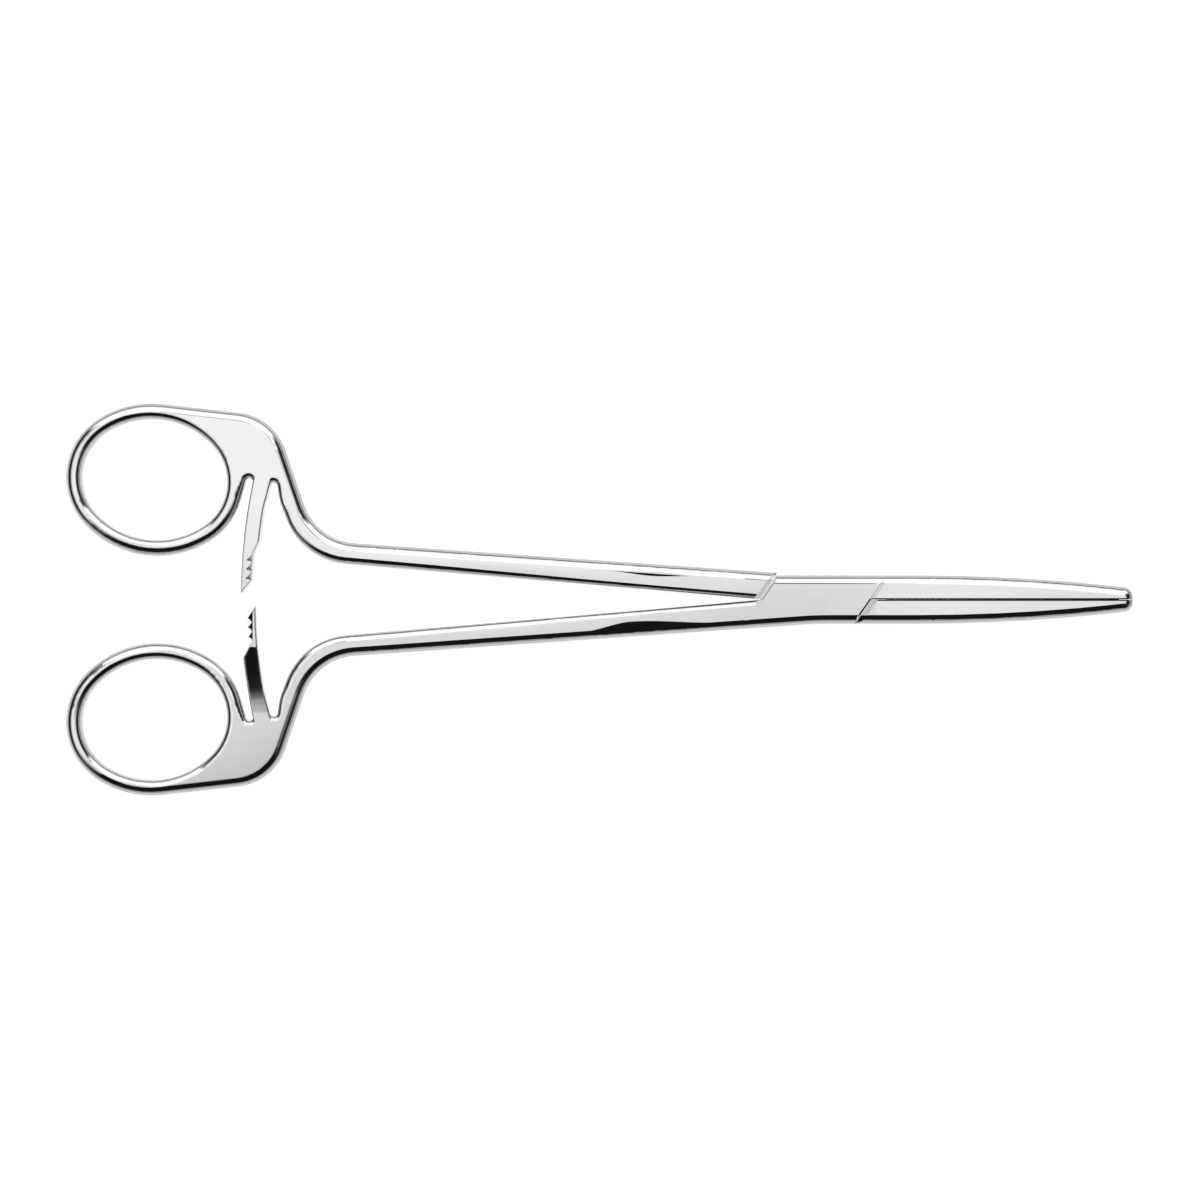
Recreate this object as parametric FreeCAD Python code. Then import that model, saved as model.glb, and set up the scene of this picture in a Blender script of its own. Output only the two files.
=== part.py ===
import FreeCAD, Part
import math
import os
from FreeCAD import Vector

# Straight vascular clamp of the artery-forceps pattern, with a box lock, a
# three-tooth ratchet and serrated jaws. Millimetres and degrees throughout.
# It is worked out about the pin: +X runs to the jaw tips, +Y across, +Z up.

# Overall reach on each side of the pin
jaw_reach = 53.6            # pin to the jaw tips
ring_reach = 111.3          # pin to the middle of the finger rings
ring_spread = 20.2          # middle line to the middle of a ring

# Finger rings, oval and leaning in towards the shanks
ring_hole_length = 24.5
ring_hole_width = 20.3
ring_band = 2.7
ring_lean = 7.0
ring_thickness = 3.3

# Web that joins ring, ratchet bar and neck
web_lean = 6.4
web_corner = 9.4
ring_slot = 1.79            # ring to ratchet bar
slot_end = 0.65             # radius of the closed end of a slot
slot_rise = 0.2             # ring middle up to the end of the slot beside it
slot_step = 0.75            # the slot beside the neck ends this much lower
neck_slot = 2.33            # neck to ratchet bar, at the foot of the neck's bend
neck_bend = 3.5             # ring middle down to that place
neck_bend_radius = 9.0

# Neck and shank
neck_lean = 18.9            # from crosswise
neck_width = 3.66
knee_outer = 9.6
knee_inner = 11.8
shank_outer_lean = 4.0
shank_inner_lean = 4.83
crotch_reach = 8.5          # pin to where the two shanks part
swell_reach = 26.0          # pin to where the shank swells most towards the box

# Box lock
box_width = 8.2
box_thickness = 5.0
box_flat = 12.0             # the box is level this far behind the pin
box_blend_radius = 66.0     # shank to box, in the outline
shoulder_reach = 6.4        # pin to the outer end of a slanted shoulder
shoulder_lean = 55.4        # shoulders from lengthwise
shoulder_groove = 1.0       # open groove beside each shoulder
shoulder_gap = 0.25         # left of it at the foot of the slope
shoulder_bevel = 0.3
tongue_thickness = 2.0
tongue_hub = 3.3            # radius round the pin
tongue_inset = 0.45         # tongue edge inside the outline of the box
slot_clearance = 0.12       # tongue to the walls of its slot
opening_angle = 50.0
pin_radius = 1.7
pin_clearance = 0.05        # running fit in the tongue

# Jaws
jaw_start = 10.0            # pin to where the jaws begin to thin towards the tips
jaw_straight = 17.0         # pin to where they begin to narrow
tip_width = 4.3             # over both jaws
tip_thickness = 3.3
tip_corner = 1.7
jaw_gap = 0.06              # between the closed jaw faces
seam_bevel = 0.22
serration_pitch = 1.0
serration_depth = 0.3
serration_start = 12.0      # pin to the first serration
serration_margin = 2.5      # smooth land at the tips

# Ratchet bars, laid out on circles about the pin
bar_width = 2.6
bar_bevel = 0.16
bar_tip = 1.0               # middle line to the pointed end of a bar
bar_full = 9.8              # middle line to where the bar is at full width
bar_flare = 4.9             # ring middle down to where the bar widens into the web
bar_root = 1.6              # how far a bar reaches into the web
tooth_pitch = 1.55
tooth_count = 3
first_tooth = 3.2           # middle line to the first tooth

# Inclined grooves of the tongue half's bar, on the side of the pin
groove_crest = 0.45         # middle of the bar in to the tooth crests
groove_depth = 0.95
groove_back = 0.26          # run of the steep face
groove_open = 1.15          # mouth of a groove
groove_land = 7.7           # middle line to the end of the crests
groove_slope = 40.0         # floor, from level

# Open gullets of the box half's bar, on the far side
gullet_crest = 0.25         # middle of the bar out to the tooth crests
gullet_depth = 0.75
gullet_bottom = 0.62        # crest to the bottom of a gullet
gullet_hollow = 0.12        # hollow of its steep side
crest_bevel = 1.1           # width of the bevel over the teeth
crest_bevel_slope = 32.0

# Lift of the box half's bar over its partner
latch_foot = 0.8            # underside of its lifted end
latch_top = 2.4             # and the upper side
latch_bend = 8.0            # middle line to where it levels off
latch_run = 11.0            # length of the rise

# Edge roundings of the forged blank
outline_round = 1.5
inner_round = 1.15          # inner side of neck and shank
crotch_round = 0.8
slot_round = 0.85
ring_hole_round = 1.119
rounding_share = 0.46       # most of a wall that one rounding may take
ring_flat = 0.05            # least flat left on top of a ring

up = Vector(0, 0, 1)
pin_axis = Vector(0, 0, 0)
half_box = box_width / 2
beyond = ring_reach + ring_hole_length + jaw_reach  # longer than the whole clamp
thick = 2 * box_thickness                           # thicker than any piece
near_enough = 0.01                                  # for telling where a point lies
wall_tilt = 0.1                                     # most that a wall leans, as Z of its normal
thinnest = min(ring_thickness, tip_thickness, 2 * tip_corner, neck_width)
edge_round = min(outline_round, rounding_share * thinnest)
hole_round = min(ring_hole_round, ring_band - ring_flat - edge_round,
                 rounding_share * ring_thickness)


def heading(angle):
    """Unit vector in the plan, at an angle from lengthwise."""
    return Vector(math.cos(math.radians(angle)), math.sin(math.radians(angle)), 0)


def angle_of(direction):
    return math.degrees(math.atan2(direction.y, direction.x))


def crossing(start, direction, other, other_direction):
    """Point where two lines in the plan meet."""
    run = (other - start).cross(other_direction).z / direction.cross(other_direction).z
    return start + direction * run


def across(point):
    """The same point on the other side of the middle line."""
    return Vector(point.x, -point.y, point.z)


def turned(point):
    """The same point half a turn about the pin."""
    return Vector(-point.x, -point.y, point.z)


def on_circle(radius, height):
    """Point on a circle about the pin, on the handle side, at a height in Y."""
    return Vector(-math.sqrt(radius * radius - height * height), height, 0)


def touching(point, centre, radius, side):
    """Where a line from a point touches a circle, on its left (1) or right (-1)."""
    away = centre - point
    swing = math.degrees(math.asin(radius / away.Length))
    run = math.sqrt(away.Length ** 2 - radius ** 2)
    return point + heading(angle_of(away) + side * swing) * run


def line(start, end):
    return Part.LineSegment(start, end).toShape()


def arc(first, middle, last):
    return Part.Arc(first, middle, last).toShape()


def circle_arc(radius, start, end):
    """Arc about the pin, between two heights in Y."""
    return arc(on_circle(radius, start), on_circle(radius, (start + end) / 2),
               on_circle(radius, end))


def rounded(before, at, after, radius):
    """First, middle and last point of the arc that rounds a corner."""
    back = (before - at).normalize()
    onward = (after - at).normalize()
    half_angle = back.getAngle(onward) / 2
    run = radius / math.tan(half_angle)
    bisector = (back + onward).normalize()
    middle = at + bisector * (radius / math.sin(half_angle) - radius)
    return at + back * run, middle, at + onward * run


def polygon(points):
    return Part.Face(Part.makePolygon(points + [points[0]]))


def plate(face, height):
    """A plan face made solid, centred on the middle plane."""
    solid = face.extrude(up * height)
    solid.translate(up * (-height / 2))
    return solid


# Ring oval of four arcs: two small ones at its ends, two large ones at its sides
ring_at = Vector(-ring_reach, ring_spread, 0)
long_axis = heading(-ring_lean)
short_axis = heading(90 - ring_lean)
oval_diagonal = math.hypot(ring_hole_length, ring_hole_width) / 2
oval_excess = (ring_hole_length - ring_hole_width) / 2
end_radius = oval_diagonal * (oval_diagonal - oval_excess) / ring_hole_length
side_radius = oval_diagonal * (oval_diagonal + oval_excess) / ring_hole_width
end_shift = ring_hole_length / 2 - end_radius
side_shift = side_radius - ring_hole_width / 2
oval_join = math.degrees(math.atan2(side_shift, end_shift))
near_centre = ring_at + long_axis * end_shift
far_centre = ring_at - long_axis * end_shift
upper_centre = ring_at - short_axis * side_shift
lower_centre = ring_at + short_axis * side_shift
ring_top = upper_centre + heading(90 - web_lean) * (side_radius + ring_band)

# Ratchet bar and the slots on both sides of it
ring_near = Vector(-ring_reach + ring_hole_length / 2 + ring_band, ring_spread, 0)
bar_outside = ring_near.Length - ring_slot
bar_middle = bar_outside - bar_width / 2
bar_inside = bar_outside - bar_width
slot_high = ring_spread + slot_rise - slot_end
slot_low = slot_high - slot_step
ring_slot_at = on_circle(bar_outside + slot_end, slot_high)
bar_flare_at = on_circle(bar_inside, ring_spread - bar_flare)
neck_bend_at = on_circle(bar_inside - neck_slot, ring_spread - neck_bend)
neck_slot_at = Vector((on_circle(bar_inside, slot_low).x + neck_bend_at.x) / 2, slot_low, 0)

# Corners of neck, shank and web
shank_outer_line = heading(-shank_outer_lean)
shank_inner_line = heading(-shank_inner_lean)
web_line = heading(-web_lean)
neck_line = heading(90 + neck_lean)
box_corner = Vector(0, half_box, 0)
neck_outside = neck_bend_at + neck_line.cross(up) * neck_width
knee_out = crossing(neck_outside, neck_line, box_corner, shank_outer_line)
web_out = crossing(ring_top, web_line, knee_out, neck_line)
crotch_point = Vector(-crotch_reach, 0, 0)
knee_in = crossing(crotch_point, shank_inner_line, neck_bend_at, neck_line)
knee = rounded(web_out, knee_out, box_corner, knee_outer)
box_blend = rounded(knee_out, box_corner, Vector(jaw_straight, half_box, 0), box_blend_radius)

# Slanted shoulder of the box, on the side away from its own shank
shoulder_line = heading(-shoulder_lean)
shoulder_end = Vector(-shoulder_reach, -half_box, 0)
crotch = crossing(crotch_point, shank_inner_line, shoulder_end, shoulder_line)
knee_arc = rounded(neck_bend_at, knee_in, crotch, knee_inner)


def jaw_outline():
    """Upper half of the outline over box and jaws, from the taper to the tip."""
    taper_end = Vector(jaw_reach - tip_corner, tip_width / 2, 0)
    drop = half_box - tip_width / 2
    run = taper_end.x - jaw_straight
    radius = (run * run + drop * drop) / (2 * drop)
    half_angle = math.asin(run / radius) / 2
    taper_start = Vector(jaw_straight, half_box, 0)
    taper_middle = taper_start + Vector(radius * math.sin(half_angle),
                                        radius * (math.cos(half_angle) - 1), 0)
    tip_side = Vector(jaw_reach, tip_width / 2 - tip_corner, 0)
    tip_middle = Vector(taper_end.x, tip_side.y, 0) + heading(45) * tip_corner
    return [(taper_start, taper_middle, taper_end), (taper_end, tip_middle, tip_side)]


def ring_arc(centre, radius, start, end):
    """One arc of a ring, between two angles from its long axis."""
    points = [centre + heading(angle - ring_lean) * radius
              for angle in (start, (start + end) / 2, end)]
    return arc(*points)


def ring_hole():
    return Part.Wire([
        ring_arc(near_centre, end_radius, -oval_join, oval_join),
        ring_arc(upper_centre, side_radius, oval_join, 180 - oval_join),
        ring_arc(far_centre, end_radius, 180 - oval_join, 180 + oval_join),
        ring_arc(lower_centre, side_radius, 180 + oval_join, 360 - oval_join),
    ])


def slot_side():
    """Straight wall of the ring's slot, touching the slot's end and the ring."""
    away = near_centre - ring_slot_at
    reach = end_radius + ring_band
    swing = math.degrees(math.acos((reach + slot_end) / away.Length))
    normal = heading(angle_of(away) - swing)
    return ring_slot_at + normal * slot_end, near_centre - normal * reach


def ring_edges():
    """Ring side of the outline, from the ratchet bar round to the web."""
    wall_top, wall_foot = slot_side()
    bar_top = ring_slot_at * (bar_outside / ring_slot_at.Length)
    end_reach = end_radius + ring_band
    side_reach = side_radius + ring_band
    foot_angle = angle_of(wall_foot - near_centre) + ring_lean
    top_angle = 90 - web_lean + ring_lean
    return [
        arc(bar_top, ring_slot_at + Vector(0, slot_end, 0), wall_top),
        line(wall_top, wall_foot),
        ring_arc(near_centre, end_reach, foot_angle, -oval_join),
        ring_arc(lower_centre, side_reach, -oval_join, oval_join - 180),
        ring_arc(far_centre, end_reach, 180 + oval_join, 180 - oval_join),
        ring_arc(upper_centre, side_reach, 180 - oval_join, top_angle),
    ]


def neck_wall():
    """Inner wall of the neck: where it leaves its slot, and the bend below."""
    wall_top = touching(neck_bend_at, neck_slot_at, slot_end, -1)
    return wall_top, rounded(wall_top, neck_bend_at, knee_in, neck_bend_radius)


def bar_side():
    """Where the inner side of the ratchet bar runs into the slot's end."""
    return touching(bar_flare_at, neck_slot_at, slot_end, 1)


def stub_corners():
    """Foot of the short stub that carries the ratchet bar."""
    height = neck_bend_at.y
    inside = crossing(bar_flare_at, bar_side() - bar_flare_at, Vector(0, height, 0), heading(0))
    return inside, on_circle(bar_outside, height)


def blank_outline():
    """Plan of one forged half: ring, web, neck and shank, full box, both jaws."""
    web = rounded(ring_top, web_out, knee_out, web_corner)
    taper, tip = jaw_outline()
    back_tip = [across(point) for point in reversed(tip)]
    back_taper = [across(point) for point in reversed(taper)]
    wall_top, bend = neck_wall()
    stub_inside, stub_outside = stub_corners()
    ring = ring_edges()
    bar_top = ring[0].Vertexes[0].Point
    return Part.Wire([
        line(ring_top, web[0]), arc(*web),
        line(web[2], knee[0]), arc(*knee),
        line(knee[2], box_blend[0]), arc(*box_blend),
        line(box_blend[2], taper[0]), arc(*taper), arc(*tip),
        line(tip[2], back_tip[0]), arc(*back_tip), arc(*back_taper),
        line(back_taper[2], shoulder_end), line(shoulder_end, crotch),
        line(crotch, knee_arc[2]), arc(*knee_arc[::-1]),
        line(knee_arc[0], bend[2]), arc(*bend[::-1]), line(bend[0], wall_top),
        arc(wall_top, neck_slot_at + Vector(0, slot_end, 0), bar_side()),
        line(bar_side(), stub_inside), line(stub_inside, stub_outside),
        circle_arc(bar_outside, stub_outside.y, bar_top.y),
    ] + ring)


def jaw_slope():
    """Upper edge of the jaws in the side view, carried on past the tips."""
    start = Vector(jaw_start, 0, box_thickness / 2)
    tip = Vector(jaw_reach, 0, tip_thickness / 2)
    return start, tip + (tip - start).normalize() * tip_thickness


def swell_line():
    """Two tangent arcs, from the level handle to the level box."""
    foot = Vector(knee_arc[2].x, 0, ring_thickness / 2)
    top = Vector(-box_flat, 0, box_thickness / 2)
    slope = 2 * (top.z - foot.z) / (top.x - foot.x)
    middle = Vector(-swell_reach, 0, foot.z + slope * (-swell_reach - foot.x) / 2)
    hollow = (foot + middle) / 2 - up * (slope * (middle.x - foot.x) / 8)
    crown = (middle + top) / 2 + up * (slope * (top.x - middle.x) / 8)
    return (foot, hollow, middle), (middle, crown, top)


def top_line():
    """Upper edge of the side view, from the rings to the jaw tips."""
    hollow, crown = swell_line()
    tail = Vector(-beyond, 0, hollow[0].z)
    start, end = jaw_slope()
    return [line(tail, hollow[0]), arc(*hollow), arc(*crown),
            line(crown[2], start), line(start, end)]


def side_view():
    """Solid of the side view, which sets the thickness along the clamp."""
    upper = top_line()
    lower = [edge.mirror(pin_axis, up) for edge in upper]
    start = upper[0].Vertexes[0].Point
    end = upper[-1].Vertexes[-1].Point
    ends = [line(start, Vector(start.x, 0, -start.z)), line(end, Vector(end.x, 0, -end.z))]
    outline = Part.Wire(Part.__sortEdges__(upper + lower + ends))
    solid = Part.Face(outline).extrude(Vector(0, 2 * beyond, 0))
    solid.translate(Vector(0, -beyond, 0))
    return solid


def is_wall(face):
    low_u, high_u, low_v, high_v = face.ParameterRange
    normal = face.normalAt((low_u + high_u) / 2, (low_v + high_v) / 2)
    return abs(normal.z) < wall_tilt


def in_plan(point):
    return Vector(point.x, point.y, 0)


def middle_of(edge):
    return in_plan(edge.valueAt((edge.FirstParameter + edge.LastParameter) / 2))


def on_shoulder(edge):
    return abs((middle_of(edge) - crotch).cross(shoulder_line).z) < near_enough


def on_ring_hole(edge):
    away = middle_of(edge) - ring_at
    long_way = away.dot(long_axis) / (ring_hole_length / 2)
    short_way = away.dot(short_axis) / (ring_hole_width / 2)
    return math.hypot(long_way, short_way) < 1 + ring_band / ring_hole_length


def is_rim(solid, edge):
    """True where an upright wall meets the upper or lower surface."""
    faces = solid.ancestorsOfType(edge, Part.Face)
    return len(faces) == 2 and is_wall(faces[0]) != is_wall(faces[1])


def share_along(point, start, end):
    """How far a point is along a straight run, or None if it isn't on it."""
    run = end - start
    share = (point - start).dot(run) / run.dot(run)
    aside = abs((point - start).cross(run).z) / run.Length
    on_it = aside < near_enough and abs(share - 1 / 2) < 1 / 2 + near_enough
    return share if on_it else None


def in_slots(point, wall_top):
    high = ring_spread + slot_rise
    aside = max(wall_top.x - point.x, point.x - neck_bend_at.x)
    outside = max(neck_bend_at.y - point.y, point.y - high, aside)
    return outside < near_enough


def rounding_at(point):
    """Radius of the rim's rounding, finer in the slots and towards the crotch."""
    place = in_plan(point)
    wall_top, wall_foot = slot_side()
    bend = neck_wall()[1]
    if in_slots(place, wall_top):
        return slot_round
    if (place - wall_foot).Length < near_enough:
        return (slot_round + edge_round) / 2
    for start, end, first, last in ((crotch, knee_arc[2], crotch_round, inner_round),
                                    (knee_arc[0], bend[2], inner_round, slot_round)):
        share = share_along(place, start, end)
        if share is not None:
            return first + share * (last - first)
    return edge_round


def round_rims(solid):
    """Round every rim but the shoulder's and the ring hole's."""
    document = FreeCAD.newDocument()
    blank = document.addObject("Part::Feature", "Blank")
    blank.Shape = solid
    rounding = document.addObject("Part::Fillet", "Rounding")
    rounding.Base = blank
    rims = []
    for number, edge in enumerate(solid.Edges, start=1):
        if is_rim(solid, edge) and not on_shoulder(edge) and not on_ring_hole(edge):
            ends = [rounding_at(vertex.Point) for vertex in edge.Vertexes]
            rims.append((number, ends[0], ends[-1]))
    rounding.Edges = rims
    document.recompute()
    rounded_solid = rounding.Shape.Solids[0]
    FreeCAD.closeDocument(document.Name)
    return rounded_solid


def forged_blank():
    """One half as forged and rounded, before box, tongue and jaws are cut."""
    face = Part.Face([blank_outline(), ring_hole()])
    face.validate()
    solid = plate(face, thick).common(side_view()).Solids[0]
    solid = round_rims(solid)
    inside = [edge for edge in solid.Edges if is_rim(solid, edge) and on_ring_hole(edge)]
    return solid.makeFillet(hole_round, inside).Solids[0]


def prism_along(profile, origin, across_line, run_line):
    """A profile of (distance, height) pairs, extruded far along a slanted line."""
    points = [origin + across_line * distance + up * height for distance, height in profile]
    points = [point - run_line * beyond for point in points]
    return polygon(points).extrude(run_line * (2 * beyond))


def shoulder_stock():
    """Everything behind the sloped shoulder face of the tongue half."""
    line_up = across(shoulder_line)
    towards_pin = line_up.cross(up)
    slope = shoulder_groove - shoulder_gap
    box_z = box_thickness / 2
    foot = tongue_thickness / 2
    profile = [(-beyond, thick), (0, thick), (0, box_z), (slope, foot),
               (slope, -foot), (0, -box_z), (0, -thick), (-beyond, -thick)]
    edge = across(crotch) - towards_pin * shoulder_groove
    return prism_along(profile, edge, towards_pin, line_up)


def half_turn(shape):
    copy = shape.copy()
    copy.rotate(pin_axis, up, 180)
    return copy


def tongue_edge():
    """Lower edge of the tongue's rear arm: a start point and a direction.

    It leaves the crotch and runs tangent to the round hub."""
    start = crotch_point + Vector(crotch_reach + crotch.x, slot_clearance, 0)
    swing = math.degrees(math.asin(tongue_hub / start.Length))
    to_pin = math.degrees(math.atan2(-start.y, -start.x))
    return start, heading(to_pin - swing)


def tongue_plan():
    """Hub and one arm; the other arm is the same half a turn round."""
    start, direction = tongue_edge()
    touch = start + direction * (-start).dot(direction)
    far = half_box - tongue_inset
    rear = start - direction * box_width
    arm = polygon([touch, start, rear, Vector(rear.x, far, 0),
                   Vector(-tongue_hub, far, 0), Vector(0, tongue_hub, 0), pin_axis])
    hub = Part.Face(Part.Wire([Part.Circle(pin_axis, up, tongue_hub).toShape()]))
    return arm, hub


def tongue():
    """The thin link through the box, from the shank to the far jaw."""
    arm, hub = tongue_plan()
    rear = plate(arm, tongue_thickness)
    return plate(hub, tongue_thickness).fuse([rear, half_turn(rear)])


def slot_wall():
    """Solid metal of the box beside the rear arm, up to where the open arm stops."""
    start, direction = tongue_edge()
    outward = direction.cross(up)
    near = start + outward * slot_clearance
    arm_line = Vector(-tongue_hub, half_box - tongue_inset, 0) - Vector(0, tongue_hub, 0)
    stop_line = arm_line.normalize() * -1
    stop_side = stop_line.cross(up)
    stop_point = Vector(0, -tongue_hub, 0) + stop_side * slot_clearance
    turn = FreeCAD.Rotation(up, -opening_angle)
    stop_line = turn.multVec(stop_line)
    stop_point = turn.multVec(stop_point)
    meet = crossing(near, direction, stop_point, stop_line)
    return plate(polygon([meet, meet - direction * beyond,
                          meet - direction * beyond + outward * beyond,
                          meet + stop_line * beyond]), thick)


def tongue_slot():
    """The space that the tongue needs from closed to fully open."""
    height = tongue_thickness + 2 * slot_clearance
    reach = -crotch.x + 2 * box_width
    block = Part.makeBox(2 * reach, 2 * reach, height, Vector(-reach, -reach, -height / 2))
    wall = slot_wall()
    return block.cut([wall, half_turn(wall)])


def serration_count():
    land = jaw_reach - serration_margin - serration_start
    return max(1, int(land / serration_pitch))


def jaw_face(offset):
    """Points of the serrated seam line, from the box to past the tips."""
    points = [Vector(0, offset, 0), Vector(serration_start, offset, 0)]
    for tooth in range(serration_count()):
        root = serration_start + tooth * serration_pitch
        points.append(Vector(root + serration_pitch / 4, offset + serration_depth / 2, 0))
        points.append(Vector(root + 3 * serration_pitch / 4, offset - serration_depth / 2, 0))
    last = serration_start + serration_count() * serration_pitch
    points.append(Vector(last, offset, 0))
    points.append(Vector(beyond, offset, 0))
    return points


def far_side(offset):
    """All that lies on the far side of the seam line, ahead of the pin."""
    points = jaw_face(offset)
    corners = [Vector(beyond, -beyond, 0), Vector(0, -beyond, 0)]
    return plate(polygon(points + corners), thick)


def seam_bevels():
    """V tools that bevel the seam edges along the box and along the jaws."""
    start, end = jaw_slope()
    tools = []
    for first, last in ((Vector(-crotch.x, 0, start.z), start), (start, end)):
        vee = polygon([first + Vector(0, 2 * seam_bevel, seam_bevel),
                       first - up * seam_bevel,
                       first + Vector(0, -2 * seam_bevel, seam_bevel)])
        upper = vee.extrude(last - first)
        tools += [upper, upper.mirror(pin_axis, up)]
    return tools


def shoulder_bevels(line_at, line_run, away):
    """Wedges that bevel the upper and lower edge of a box shoulder."""
    box_z = box_thickness / 2
    wedge = [(-shoulder_bevel, thick), (-shoulder_bevel, box_z),
             (0, box_z - shoulder_bevel), (shoulder_bevel, box_z - shoulder_bevel),
             (shoulder_bevel, thick)]
    upper = prism_along(wedge, line_at, away, line_run)
    return [upper, upper.mirror(pin_axis, up)]


def bar_root_edges():
    """Inner side of a ratchet bar from its full width up into the web, and its end."""
    root_height = ring_spread + slot_rise + bar_root
    side = bar_side() - bar_flare_at
    root = crossing(bar_flare_at, side, Vector(0, root_height, 0), heading(0))
    return [line(bar_flare_at, root), line(root, on_circle(bar_outside, root_height))]


def grooved_bar_plan():
    """Tongue half's bar, with a straight run of crests on the side of the pin."""
    crest = bar_middle - groove_crest
    root = bar_root_edges()
    top = root[-1].Vertexes[-1].Point
    return Part.Face(Part.Wire(root + [
        circle_arc(bar_outside, top.y, bar_tip),
        line(on_circle(bar_outside, bar_tip), on_circle(crest, first_tooth)),
        circle_arc(crest, first_tooth, groove_land),
        line(on_circle(crest, groove_land), on_circle(bar_inside, bar_full)),
        circle_arc(bar_inside, bar_full, bar_flare_at.y),
    ]))


def tooth_edges(number):
    """One tooth of the box half: hollow steep side, then the ramp to the next."""
    crest = bar_middle + gullet_crest
    base = first_tooth + number * tooth_pitch
    tip = on_circle(crest, base)
    bottom = on_circle(crest - gullet_depth, base + gullet_bottom)
    last = number == tooth_count - 1
    onward = on_circle(bar_outside, bar_full) if last else on_circle(crest, base + tooth_pitch)
    hollow = (tip + bottom) / 2 + heading(angle_of(bottom - tip) - 90) * gullet_hollow
    return [arc(tip, hollow, bottom), line(bottom, onward)]


def notched_bar_plan():
    """Box half's bar, with open gullets on the far side from the pin."""
    root = bar_root_edges()
    top = root[-1].Vertexes[-1].Point
    teeth = [edge for number in range(tooth_count) for edge in tooth_edges(number)]
    first = on_circle(bar_middle + gullet_crest, first_tooth)
    return Part.Face(Part.Wire(Part.__sortEdges__(root + teeth + [
        circle_arc(bar_outside, top.y, bar_full),
        line(first, on_circle(bar_inside, bar_tip)),
        circle_arc(bar_inside, bar_tip, bar_flare_at.y),
    ])))


def on_bar_side(edge):
    """True for the long edges of a bar, clear of its teeth and of its root."""
    place = middle_of(edge)
    reach = place.Length
    off_side = min(abs(reach - bar_inside), abs(reach - bar_outside))
    return off_side < near_enough


def bevelled(bar):
    edges = [edge for edge in bar.Edges if is_rim(bar, edge) and on_bar_side(edge)]
    return bar.makeChamfer(bar_bevel, edges).Solids[0]


def tongue_rack():
    """Level ratchet bar whose grooves slope down towards the pin."""
    bar = bevelled(plate(grooved_bar_plan(), ring_thickness))
    crest = bar_middle - groove_crest
    slope = heading(0) * math.cos(math.radians(groove_slope))
    slope = slope - up * math.sin(math.radians(groove_slope))
    run = slope * ring_thickness
    grooves = []
    for number in range(tooth_count):
        base = first_tooth + number * tooth_pitch
        mouth = [on_circle(crest, base), on_circle(crest, base + groove_open)]
        floor = on_circle(crest + groove_depth, base + groove_back)
        groove = polygon([mouth[0], floor, mouth[1]])
        groove.translate(up * ring_thickness / 2 - run)
        grooves.append(groove.extrude(run * 3))  # from above the bar out through its side
    return bar.cut(grooves)


def rise(start, end, low, high):
    """Edge of the side view that leaves the level and rises ever more steeply."""
    run = start - end
    lift = high - low
    radius = (run * run + lift * lift) / (2 * lift)
    half_angle = math.asin(run / radius) / 2
    middle = Vector(0, start - radius * math.sin(half_angle),
                    low + radius * (1 - math.cos(half_angle)))
    return arc(Vector(0, start, low), middle, Vector(0, end, high))


def lifted_side():
    """Side view of the box half's bar: level root, rise and lifted rack."""
    half = ring_thickness / 2
    root = ring_spread + box_width
    tip = -box_width
    upper_start = latch_bend + latch_run
    lower_start = neck_bend_at.y
    edges = [
        line(Vector(0, root, half), Vector(0, upper_start, half)),
        rise(upper_start, latch_bend, half, latch_top),
        line(Vector(0, latch_bend, latch_top), Vector(0, tip, latch_top)),
        line(Vector(0, tip, latch_top), Vector(0, tip, latch_foot)),
        line(Vector(0, tip, latch_foot), Vector(0, latch_bend, latch_foot)),
        rise(lower_start, latch_bend, -half, latch_foot),
        line(Vector(0, lower_start, -half), Vector(0, root, -half)),
        line(Vector(0, root, -half), Vector(0, root, half)),
    ]
    side = Part.Face(Part.Wire(Part.__sortEdges__(edges)))
    return side.extrude(Vector(-beyond, 0, 0))


def crest_bevel_tool():
    """Wedge that bevels the crests of the box half's teeth."""
    crest = bar_middle + gullet_crest
    edge = Vector(crest_bevel - crest, -box_width, latch_top)
    down = heading(180) * math.cos(math.radians(crest_bevel_slope))
    down = down - up * math.sin(math.radians(crest_bevel_slope))
    foot = edge + down * box_width  # well past the crests
    wedge = polygon([edge, foot, foot + up * box_thickness, edge + up * box_thickness])
    end = first_tooth + (tooth_count - 1) * tooth_pitch + gullet_bottom
    return wedge.extrude(Vector(0, box_width + end, 0))


def box_rack():
    """Ratchet bar that lifts over its partner, bevelled over its teeth."""
    bar = plate(notched_bar_plan(), thick).common(lifted_side())
    return bevelled(bar.Solids[0]).cut(crest_bevel_tool())


def with_rack(blank, rack):
    return blank.fuse(rack).removeSplitter()


def tongue_half(blank):
    """Upper ring and shank, the tongue through the box, and the lower jaw."""
    stock = shoulder_stock()
    handle = blank.common(stock)
    jaw = blank.common(half_turn(stock)).common(far_side(-jaw_gap / 2))
    jaw = jaw.cut(seam_bevels())
    body = with_rack(handle.fuse([jaw, tongue()]), tongue_rack())
    bore = Part.makeCylinder(pin_radius + pin_clearance, thick, Vector(0, 0, -thick / 2))
    return body.cut(bore)


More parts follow.
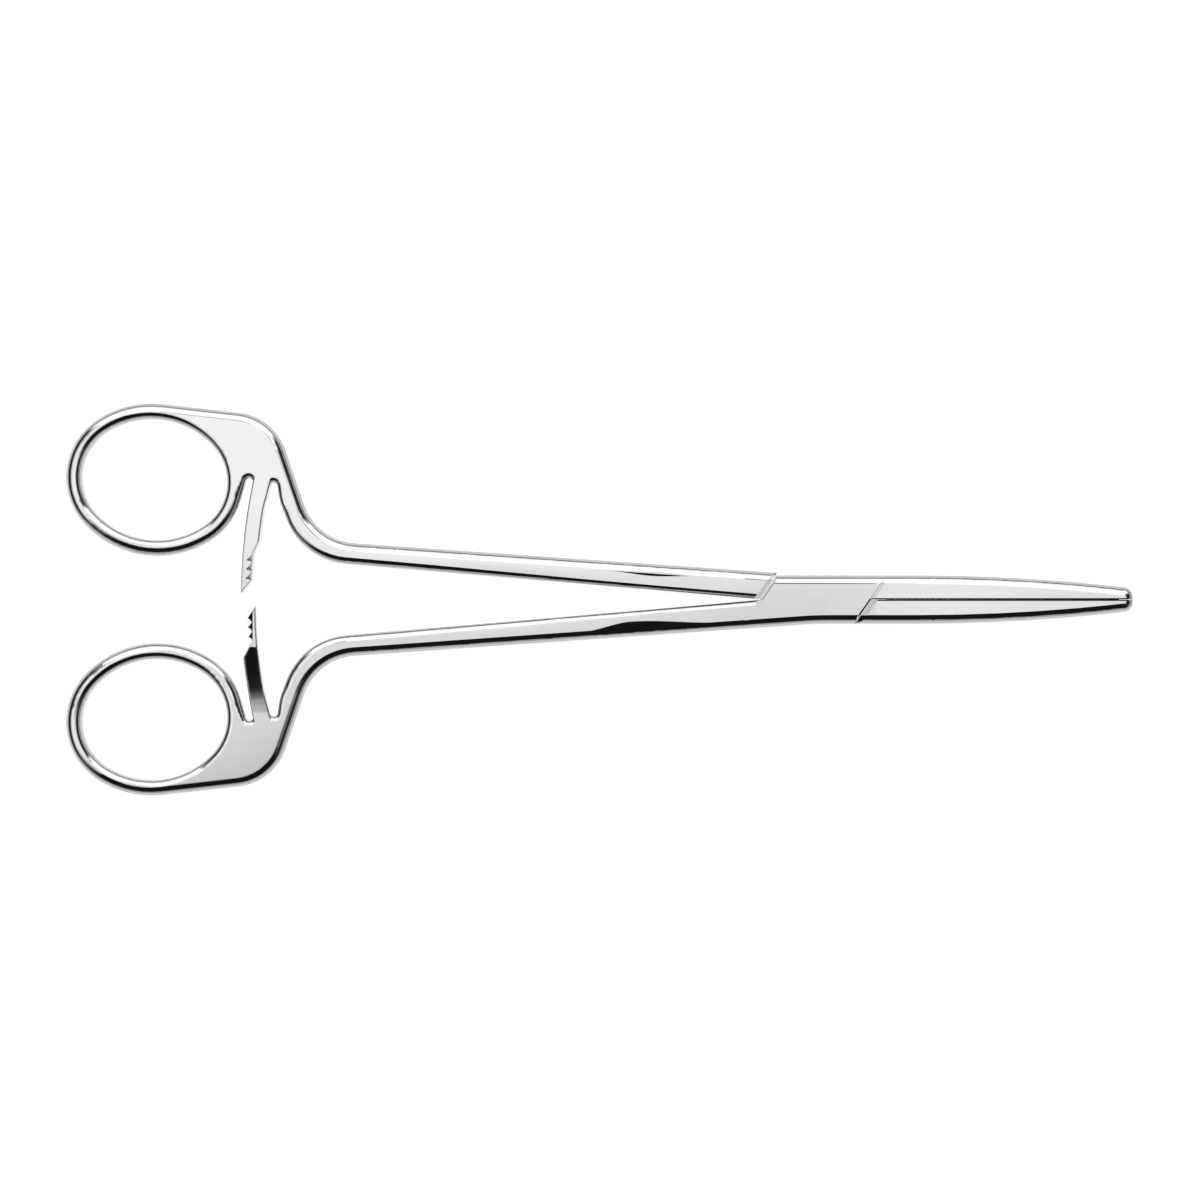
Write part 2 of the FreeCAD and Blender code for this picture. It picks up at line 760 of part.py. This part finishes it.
def box_half(blank):
    """Lower ring and shank, the slotted box, and the upper jaw."""
    body = with_rack(blank, box_rack()).mirror(pin_axis, Vector(0, 1, 0))
    towards_pin = across(shoulder_line).cross(up)
    shoulder_at = turned(across(crotch))
    past_shoulder = prism_along([(0, -thick), (beyond, -thick), (beyond, thick), (0, thick)],
                                shoulder_at, towards_pin, across(shoulder_line))
    opposite_jaw = past_shoulder.common(far_side(jaw_gap / 2))
    left = shoulder_bevels(across(crotch), across(shoulder_line), towards_pin * -1)
    right = [half_turn(bevel) for bevel in left]
    bore = Part.makeCylinder(pin_radius, thick, Vector(0, 0, -thick / 2))
    return body.cut([opposite_jaw, tongue_slot(), bore] + left + right + seam_bevels())


def box_pin():
    """Riveted pin, ground level with both faces of the box."""
    return Part.makeCylinder(pin_radius, box_thickness, Vector(0, 0, -box_thickness / 2))


def main():
    blank = forged_blank()
    pieces = {
        "box_half": box_half(blank),
        "tongue_half": tongue_half(blank),
        "box_pin": box_pin(),
    }
    whole = Part.makeCompound(list(pieces.values())).optimalBoundingBox(False)
    to_origin = Vector(-whole.Center.x, -whole.Center.y, box_thickness / 2)
    os.makedirs("parts", exist_ok=True)
    for name, shape in pieces.items():
        solid = shape.Solids[0] if len(shape.Solids) == 1 else shape
        solid.translate(to_origin)
        solid.exportStep("parts/" + name + ".step")
        print(name, "solids", len(solid.Solids), "valid", solid.isValid(),
              "volume", round(solid.Volume, 2))
    print("pin at", round(to_origin.x, 4), round(to_origin.y, 4))
    print("size", round(whole.XLength, 3), round(whole.YLength, 3), round(whole.ZLength, 3))


main()
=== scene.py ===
import bpy
import math
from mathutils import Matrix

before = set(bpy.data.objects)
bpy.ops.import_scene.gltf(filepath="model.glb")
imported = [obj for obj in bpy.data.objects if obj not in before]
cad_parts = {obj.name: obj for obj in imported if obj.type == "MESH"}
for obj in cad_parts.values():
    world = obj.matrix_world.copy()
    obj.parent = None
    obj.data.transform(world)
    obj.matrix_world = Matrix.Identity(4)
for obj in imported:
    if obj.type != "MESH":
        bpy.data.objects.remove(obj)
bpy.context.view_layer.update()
bpy.ops.object.select_all(action="DESELECT")
print("clamp halves and pin loaded")


# Node helpers, shared by the steel and the studio

def addNode(tree, kind, **values):
    node = tree.nodes.new(kind)
    for name, value in values.items():
        setattr(node, name, value)
    return node


def feed(tree, node, values):
    # values are sockets to link or values to set, in the order of the inputs
    for socket, value in zip(node.inputs, values):
        if isinstance(value, bpy.types.NodeSocket):
            tree.links.new(value, socket)
        else:
            socket.default_value = value
    return node


def mathStep(tree, operation, *values):
    node = addNode(tree, "ShaderNodeMath", operation=operation)
    return feed(tree, node, values).outputs["Value"]


def vectorStep(tree, operation, *values):
    node = addNode(tree, "ShaderNodeVectorMath", operation=operation)
    return feed(tree, node, values).outputs["Value" if operation == "DOT_PRODUCT" else "Vector"]


def joinVector(tree, *values):
    return feed(tree, addNode(tree, "ShaderNodeCombineXYZ"), values).outputs["Vector"]


def splitVector(tree, vector):
    return feed(tree, addNode(tree, "ShaderNodeSeparateXYZ"), [vector]).outputs


def turnVector(tree, vector, kind, fromSpace, toSpace):
    node = addNode(tree, "ShaderNodeVectorTransform", vector_type=kind,
                   convert_from=fromSpace, convert_to=toSpace)
    return feed(tree, node, [vector]).outputs["Vector"]


def between(tree, value, low, high):
    above = mathStep(tree, "GREATER_THAN", value, low)
    return mathStep(tree, "MULTIPLY", above, mathStep(tree, "LESS_THAN", value, high))


def smoothStep(tree, source, limits):
    node = addNode(tree, "ShaderNodeMapRange", interpolation_type="SMOOTHSTEP")
    low, high = limits
    node.inputs["From Min"].default_value = low
    node.inputs["From Max"].default_value = high
    tree.links.new(source, node.inputs["Value"])
    return node.outputs["Result"]


def mixColours(tree, amount, first, second):
    # first and second are colour sockets or (red, green, blue)
    node = addNode(tree, "ShaderNodeMix", data_type="RGBA")
    tree.links.new(amount, node.inputs["Factor"])
    for name, value in (("A", first), ("B", second)):
        if isinstance(value, tuple):
            node.inputs[name].default_value = (*value, 1)
        else:
            tree.links.new(value, node.inputs[name])
    return node.outputs["Result"]


def mixNormals(tree, amount, first, second):
    node = addNode(tree, "ShaderNodeMix", data_type="VECTOR")
    tree.links.new(amount, node.inputs["Factor"])
    tree.links.new(first, node.inputs["A"])
    tree.links.new(second, node.inputs["B"])
    return node.outputs["Result"]


def greyRamp(tree, source, stops):
    # stops are (place, grey)
    node = addNode(tree, "ShaderNodeValToRGB")
    ramp = node.color_ramp
    while len(ramp.elements) < len(stops):
        ramp.elements.new(0.5)  # placed below
    for element, (place, grey) in zip(ramp.elements, sorted(stops)):
        element.position = place
        element.color = (grey, grey, grey, 1)
    tree.links.new(source, node.inputs["Fac"])
    return node.outputs["Color"]


def noise(tree, place, scale, detail):
    node = addNode(tree, "ShaderNodeTexNoise")
    node.inputs["Scale"].default_value = scale
    node.inputs["Detail"].default_value = detail
    tree.links.new(place, node.inputs["Vector"])
    return node.outputs["Fac"]


def bump(tree, height, distance, normal=None):
    node = addNode(tree, "ShaderNodeBump")
    node.inputs["Distance"].default_value = distance
    tree.links.new(height, node.inputs["Height"])
    if normal is not None:
        tree.links.new(normal, node.inputs["Normal"])
    return node.outputs["Normal"]


# Places about the box lock, in metres from the pin and in degrees. Left is
# towards the rings; the right side is the left one, turned half round the pin.

lock = {
    "pin": (0.0363128, 0, 0.0025),   # in the frame
    "halfBox": 0.0041,               # half the width
    "shankLean": 4,
    "rounding": 0.0015,
    "shoulder": (-0.0064, 0.0041),   # outer end of the left shoulder
    "shoulderTurn": 55.4,
    # strips that the steel levels, as (distances from the shoulder's line, how
    # far across the strip starts): on the box half the bevel where it runs on
    # past its shoulder, on the tongue half the sloped shoulder
    "boxHalf": ((-0.00033, 0.00033), -0.0001),
    "tongueHalf": ((0.0002, 0.00103), -0.0006),
    "seam": 0.00024,                 # half the width of the painted shade along the seam between the closed jaws
    "seamReach": (0.0093, 0.0525),
    # how dark the painted shade beside the seam is, as a share of the duller steel colour
    "seamTone": 0.05,
    "seamUpright": 0.5,              # the serrations inside lean further and stay bright
    "handles": -0.085,               # the edges are softened from here back
}


def shoulderStrip(tree, along, across, settings, half):
    # 1 on the strip to be levelled
    flip = mathStep(tree, "MULTIPLY", mathStep(tree, "SIGN", along), -1)
    leftAlong = mathStep(tree, "MULTIPLY", along, flip)
    leftAcross = mathStep(tree, "MULTIPLY", across, flip)

    turn = math.radians(settings["shoulderTurn"])
    shoulderX, shoulderY = settings["shoulder"]
    offset = shoulderX * math.sin(turn) - shoulderY * math.cos(turn)
    aside = mathStep(tree, "MULTIPLY_ADD", leftAcross, math.cos(turn), offset)
    aside = mathStep(tree, "MULTIPLY_ADD", leftAlong, -math.sin(turn), aside)

    distances, start = settings[half]
    beyond = "LESS_THAN" if half == "boxHalf" else "GREATER_THAN"
    strip = between(tree, aside, *distances)
    return mathStep(tree, "MULTIPLY", strip, mathStep(tree, beyond, leftAcross, start))


def levelNormal(tree, along, across, height, settings):
    # the normal of a face that is level but for the rounding along its outer edge
    slope = math.tan(math.radians(settings["shankLean"]))
    widening = mathStep(tree, "MAXIMUM", mathStep(tree, "MULTIPLY", along, -slope), 0)
    edge = mathStep(tree, "ADD", widening, settings["halfBox"])
    inward = mathStep(tree, "SUBTRACT", edge, mathStep(tree, "ABSOLUTE", across))
    tilt = mathStep(tree, "MULTIPLY_ADD", inward, -1 / settings["rounding"], 1)
    tilt = mathStep(tree, "MINIMUM", mathStep(tree, "MAXIMUM", tilt, 0), 1)
    outwards = mathStep(tree, "MULTIPLY", tilt, mathStep(tree, "SIGN", across))
    squared = mathStep(tree, "MULTIPLY", tilt, tilt)
    upwards = mathStep(tree, "SQRT", mathStep(tree, "SUBTRACT", 1, squared))
    upwards = mathStep(tree, "MULTIPLY", upwards, mathStep(tree, "SIGN", height))
    return turnVector(tree, joinVector(tree, 0, outwards, upwards), "NORMAL", "OBJECT", "WORLD")


def jawSeamShade(tree, along, across, normal, settings):
    # 1 on the faces beside the seam, where shade is painted into the steel's colour
    seam = mathStep(tree, "LESS_THAN", mathStep(tree, "ABSOLUTE", across), settings["seam"])
    seam = mathStep(tree, "MULTIPLY", seam, between(tree, along, *settings["seamReach"]))
    upright = splitVector(tree, turnVector(tree, normal, "NORMAL", "WORLD", "OBJECT"))["Z"]
    upright = mathStep(tree, "ABSOLUTE", upright)
    face = mathStep(tree, "GREATER_THAN", upright, settings["seamUpright"])
    return mathStep(tree, "MULTIPLY", seam, face)


# Shallow hollows left by the polishing wheel where the shanks swell, in metres

hollow = {
    "lean": 0.1,                  # of the steel's normal, as a slope
    "softness": 0.0002,
    "swell": 0.0065,              # the shanks begin to lean this far behind the pin
    # (first, deepest, last) along the shank from the pin, distance from the
    # outer edge and width
    "boxHalf": ((-0.0395, -0.031, -0.0148), 0.001, 0.0012),
    "tongueHalf": ((-0.0365, -0.0275, -0.019), 0.0012, 0.0005),
}


def hollowLean(tree, along, across, settings, half):
    # what the hollow adds to the normal
    (first, deepest, last), start, width = settings[half]
    deep = mathStep(tree, "SUBTRACT", 1, smoothStep(tree, along, (deepest, last)))
    deep = mathStep(tree, "MULTIPLY", deep, smoothStep(tree, along, (first, deepest)))

    slope = math.tan(math.radians(lock["shankLean"]))
    narrowest = lock["halfBox"] - slope * settings["swell"]
    edge = mathStep(tree, "MULTIPLY_ADD", along, -slope, narrowest)
    inward = mathStep(tree, "SUBTRACT", edge, mathStep(tree, "ABSOLUTE", across))
    inside = mathStep(tree, "MULTIPLY_ADD", deep, width, start)
    inside = mathStep(tree, "SUBTRACT", inside, inward)
    inside = smoothStep(tree, inside, (0, settings["softness"]))
    past = mathStep(tree, "GREATER_THAN", inward, start)
    inside = mathStep(tree, "MULTIPLY", inside, past)
    lean = mathStep(tree, "MULTIPLY", inside, -settings["lean"])
    return turnVector(tree, joinVector(tree, 0, lean, 0), "VECTOR", "OBJECT", "WORLD")


# Polished surgical steel

steel = {
    "colour": (0.655, 0.66, 0.665),
    "duller": (0.6, 0.605, 0.615),
    "polishTone": (0.8, 0.35),    # how much the polishing lines show in the colour, and its base
    "rimShadeTone": 0.78,              # painted shade: the colour is made greyer where edges are seen steeply
    "rimShadeStart": (0.24, 0.36),
    "roughness": (0.05, 0.09),
    "polishScale": 900,           # fine lines left by the polishing wheel
    "polishStretch": 0.06,        # smaller makes the lines longer
    "polishDetail": 4,
    # degrees that turn the pattern of the lines, so that each piece has its own
    "patternTurn": {"boxHalf": 4, "tongueHalf": -4, "pin": 40},
    "grainDepth": 0.0000015,
    "waveScale": 45,              # hand-ground surfaces are never quite flat
    "waveDetail": 1,
    "waveDepth": 0.00002,
    "softening": 0.0003,          # polishing wears the edges of the handles
    "softeningSamples": 6,
}


def steelToneWithRimShade(tree, polish, settings):
    strength, base = settings["polishTone"]
    bright = mathStep(tree, "MULTIPLY_ADD", polish, strength, base)
    tone = mixColours(tree, bright, settings["duller"], settings["colour"])
    # painted shade on the edges: the colour darkens where the surface is seen steeply
    facing = addNode(tree, "ShaderNodeLayerWeight").outputs["Facing"]
    rimShade = smoothStep(tree, facing, settings["rimShadeStart"])
    rimShadeColour = tuple(settings["rimShadeTone"] * part for part in settings["duller"])
    return mixColours(tree, rimShade, tone, rimShadeColour)


def wornNormalAndSeamShade(tree, along, across, height, settings, half):
    # returns the normal before the bumps, and the mask of the painted shade beside the jaw seam
    worn = addNode(tree, "ShaderNodeBevel", samples=settings["softeningSamples"])
    worn.inputs["Radius"].default_value = settings["softening"]
    sharp = addNode(tree, "ShaderNodeNewGeometry").outputs["Normal"]
    handles = mathStep(tree, "LESS_THAN", along, lock["handles"])
    surface = mixNormals(tree, handles, sharp, worn.outputs["Normal"])
    strip = shoulderStrip(tree, along, across, lock, half)
    surface = mixNormals(tree, strip, surface, levelNormal(tree, along, across, height, lock))
    surface = vectorStep(tree, "ADD", surface, hollowLean(tree, along, across, hollow, half))
    return vectorStep(tree, "NORMALIZE", surface), jawSeamShade(tree, along, across, sharp, lock)


def polishedSteel(name, settings, piece):
    material = bpy.data.materials.new(name)
    material.use_nodes = True
    tree = material.node_tree
    shader = tree.nodes["Principled BSDF"]
    shader.inputs["Metallic"].default_value = 1
    place = addNode(tree, "ShaderNodeTexCoord").outputs["Object"]
    lines = addNode(tree, "ShaderNodeMapping")
    turn = math.radians(settings["patternTurn"][piece])
    lines.inputs["Rotation"].default_value = (0, 0, turn)
    lines.inputs["Scale"].default_value = (settings["polishStretch"], 1, 1)
    tree.links.new(place, lines.inputs["Vector"])
    polish = noise(tree, lines.outputs["Vector"], settings["polishScale"], settings["polishDetail"])
    waves = noise(tree, place, settings["waveScale"], settings["waveDetail"])

    tone = steelToneWithRimShade(tree, polish, settings)
    normal = None
    if piece != "pin":
        places = splitVector(tree, vectorStep(tree, "SUBTRACT", place, lock["pin"]))
        normal, seam = wornNormalAndSeamShade(tree, *places, settings, piece)
        # painted shade: the steel beside the jaw seam is darkened, standing in for the shade in the
        # narrow gap
        dark = tuple(lock["seamTone"] * part for part in settings["duller"])
        tone = mixColours(tree, seam, tone, dark)
    normal = bump(tree, waves, settings["waveDepth"], normal)
    normal = bump(tree, polish, settings["grainDepth"], normal)

    low, high = settings["roughness"]
    sheen = addNode(tree, "ShaderNodeMapRange")
    sheen.inputs["To Min"].default_value = low
    sheen.inputs["To Max"].default_value = high
    tree.links.new(polish, sheen.inputs["Value"])
    tree.links.new(sheen.outputs["Result"], shader.inputs["Roughness"])
    tree.links.new(normal, shader.inputs["Normal"])
    tree.links.new(tone, shader.inputs["Base Color"])
    return material


def dress(nodeName, material):
    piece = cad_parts[nodeName]
    piece.data.materials.clear()
    piece.data.materials.append(material)


dress("box_half", polishedSteel("boxHalfSteel", steel, "boxHalf"))
dress("tongue_half", polishedSteel("tongueHalfSteel", steel, "tongueHalf"))
dress("box_pin", polishedSteel("pinSteel", steel, "pin"))
print("steel finished")


# Pale floor

ground = {
    "size": 6.0,
    "colour": 0.8,
    "glow": 0.75,             # for the camera and in the steel, so that it shows nearly white
}


def makeFloor(settings):
    bpy.ops.mesh.primitive_plane_add(size=settings["size"], location=(0, 0, 0))
    floor = bpy.context.object
    floor.name = "studio_floor"
    material = bpy.data.materials.new("paleFloor")
    material.use_nodes = True
    tree = material.node_tree
    shader = tree.nodes["Principled BSDF"]
    grey = settings["colour"]
    shader.inputs["Base Color"].default_value = (grey, grey, grey, 1)
    shader.inputs["Roughness"].default_value = 1
    shader.inputs["Specular IOR Level"].default_value = 0
    glow = addNode(tree, "ShaderNodeEmission")
    ray = addNode(tree, "ShaderNodeLightPath")
    seen = mathStep(tree, "MAXIMUM", ray.outputs["Is Camera Ray"], ray.outputs["Is Glossy Ray"])
    seen = mathStep(tree, "MAXIMUM", seen, ray.outputs["Is Transmission Ray"])
    tree.links.new(mathStep(tree, "MULTIPLY", seen, settings["glow"]), glow.inputs["Strength"])
    both = feed(tree, addNode(tree, "ShaderNodeAddShader"),
                [shader.outputs["BSDF"], glow.outputs["Emission"]])
    tree.links.new(both.outputs["Shader"], tree.nodes["Material Output"].inputs["Surface"])
    floor.data.materials.append(material)


# White surround, with light and dark cards for the steel to mirror

surround = {
    "roomLight": 0.25,
    # what the steel mirrors towards each side of the picture, as
    # (degrees from straight up, brightness)
    "top": [(0, 1.08), (2.5, 1.35), (10, 1.4), (15, 1.6), (66, 1.6), (74, 0.6), (84, 0.15),
            (90, 0.3)],
    "bottom": [(0, 1.1), (3, 0.95), (5, 0.5), (7, 0.1), (9, 0.01), (62, 0.01), (70, 0.4),
               (80, 0.6)],
    "left": [(0, 1.05), (3, 1.08), (10, 1.12), (16, 1.34), (26, 1.34), (38, 0.8), (50, 0.1),
             (56, 0.01), (74, 0.01), (84, 0.3), (90, 0.7)],
    "right": [(0, 1.05), (4, 0.98), (9, 1.25), (15, 1.06), (24, 0.05), (30, 0.01), (60, 0.01),
              (68, 0.6), (76, 0.7), (80, 0.03), (88, 0.03)],
    # where the top and the bottom card begin, as the sine of the turn towards them
    "corner": (0.62, 0.74),
    "lowCorner": (0.3, 0.75),
    "overhead": (0, 0.3),     # the same for the part of the top card that is nearly overhead
    "overheadEnd": (10, 16),  # in degrees from straight up
    # dark openings over the box lock, as (lean to the right, lean to the top,
    # radius, darkness), the first three in degrees
    "openings": [(4.6, 10, 5, 0.9), (-6.5, 12, 3.5, 0.95)],
    "openingTone": 0.01,
}


def mirroredCards(tree, direction, settings):
    across, along, height = splitVector(tree, direction)
    fromUp = mathStep(tree, "DIVIDE", mathStep(tree, "ARCCOSINE", height), math.radians(90))
    nearZero = 0.000001  # so that nothing is divided by zero straight up
    level = mathStep(tree, "MULTIPLY_ADD", height, height, -1 - nearZero)
    level = mathStep(tree, "SQRT", mathStep(tree, "MULTIPLY", level, -1))

    sides = {}
    for side in ("top", "bottom", "left", "right"):
        stops = [(angle / 90, brightness) for angle, brightness in settings[side]]
        sides[side] = greyRamp(tree, fromUp, stops)
    toRight = mathStep(tree, "DIVIDE", across, level)
    toRight = mathStep(tree, "MULTIPLY_ADD", toRight, 0.5, 0.5)
    turn = mathStep(tree, "DIVIDE", along, level)
    toTop = smoothStep(tree, turn, settings["corner"])
    overhead = smoothStep(tree, fromUp, [angle / 90 for angle in settings["overheadEnd"]])
    overhead = mathStep(tree, "SUBTRACT", 1, overhead)
    overhead = mathStep(tree, "MULTIPLY", overhead, smoothStep(tree, turn, settings["overhead"]))
    toTop = mathStep(tree, "MAXIMUM", toTop, overhead)
    toBottom = smoothStep(tree, mathStep(tree, "MULTIPLY", turn, -1), settings["lowCorner"])
    mirrored = mixColours(tree, toRight, sides["left"], sides["right"])
    mirrored = mixColours(tree, toTop, mirrored, sides["top"])
    return mixColours(tree, toBottom, mirrored, sides["bottom"])


def cutOpenings(tree, direction, mirrored, settings):
    dark = (settings["openingTone"],) * 3
    for right, top, radius, darkness in settings["openings"]:
        middle = (math.sin(math.radians(right)), math.sin(math.radians(top)),
                  math.cos(math.radians(math.hypot(right, top))))
        aim = vectorStep(tree, "DOT_PRODUCT", direction, middle)
        inside = smoothStep(tree, aim, (math.cos(math.radians(radius)), 1))
        inside = mathStep(tree, "MULTIPLY", inside, darkness)
        mirrored = mixColours(tree, inside, mirrored, dark)
    return mirrored


def makeSurround(settings):
    world = bpy.data.worlds.new("studioSurround")
    bpy.context.scene.world = world
    world.use_nodes = True
    tree = world.node_tree
    direction = addNode(tree, "ShaderNodeTexCoord").outputs["Generated"]
    mirrored = mirroredCards(tree, direction, settings)
    mirrored = cutOpenings(tree, direction, mirrored, settings)
    ray = addNode(tree, "ShaderNodeLightPath")
    room = (settings["roomLight"],) * 3
    light = mixColours(tree, ray.outputs["Is Glossy Ray"], room, mirrored)
    light = mixColours(tree, ray.outputs["Is Camera Ray"], light, (1, 1, 1))
    tree.links.new(light, tree.nodes["Background"].inputs["Color"])


# One soft lamp above the top of the picture

softbox = {
    "place": (0, 0.25, 1.2),
    "tilt": -12,              # degrees
    "size": 0.8,
    "power": 5,
}


def makeLamp(settings):
    bpy.ops.object.light_add(type="AREA", location=settings["place"],
                             rotation=(math.radians(settings["tilt"]), 0, 0))
    lamp = bpy.context.object
    lamp.name = "softbox"
    lamp.data.size = settings["size"]
    lamp.data.energy = settings["power"]
    lamp.visible_glossy = False  # the steel mirrors the surround instead


makeFloor(ground)
makeSurround(surround)
makeLamp(softbox)
print("studio ready")


# Camera straight above, as in the photograph

camera = {
    "lens": 85,
    "sensor": 36,
    "viewWidth": 0.2023,      # across the picture, at the clamp's middle plane
    "middle": (0.00006, -0.00008),
    "middlePlane": 0.0025,
}


def placeCamera(settings):
    height = settings["viewWidth"] * settings["lens"] / settings["sensor"]
    bpy.ops.object.camera_add(location=(*settings["middle"], settings["middlePlane"] + height),
                              rotation=(0, 0, 0))
    view = bpy.context.object
    view.data.lens = settings["lens"]
    view.data.sensor_width = settings["sensor"]
    bpy.context.scene.camera = view


placeCamera(camera)
bpy.context.scene.view_settings.view_transform = "Standard"
print("camera placed")
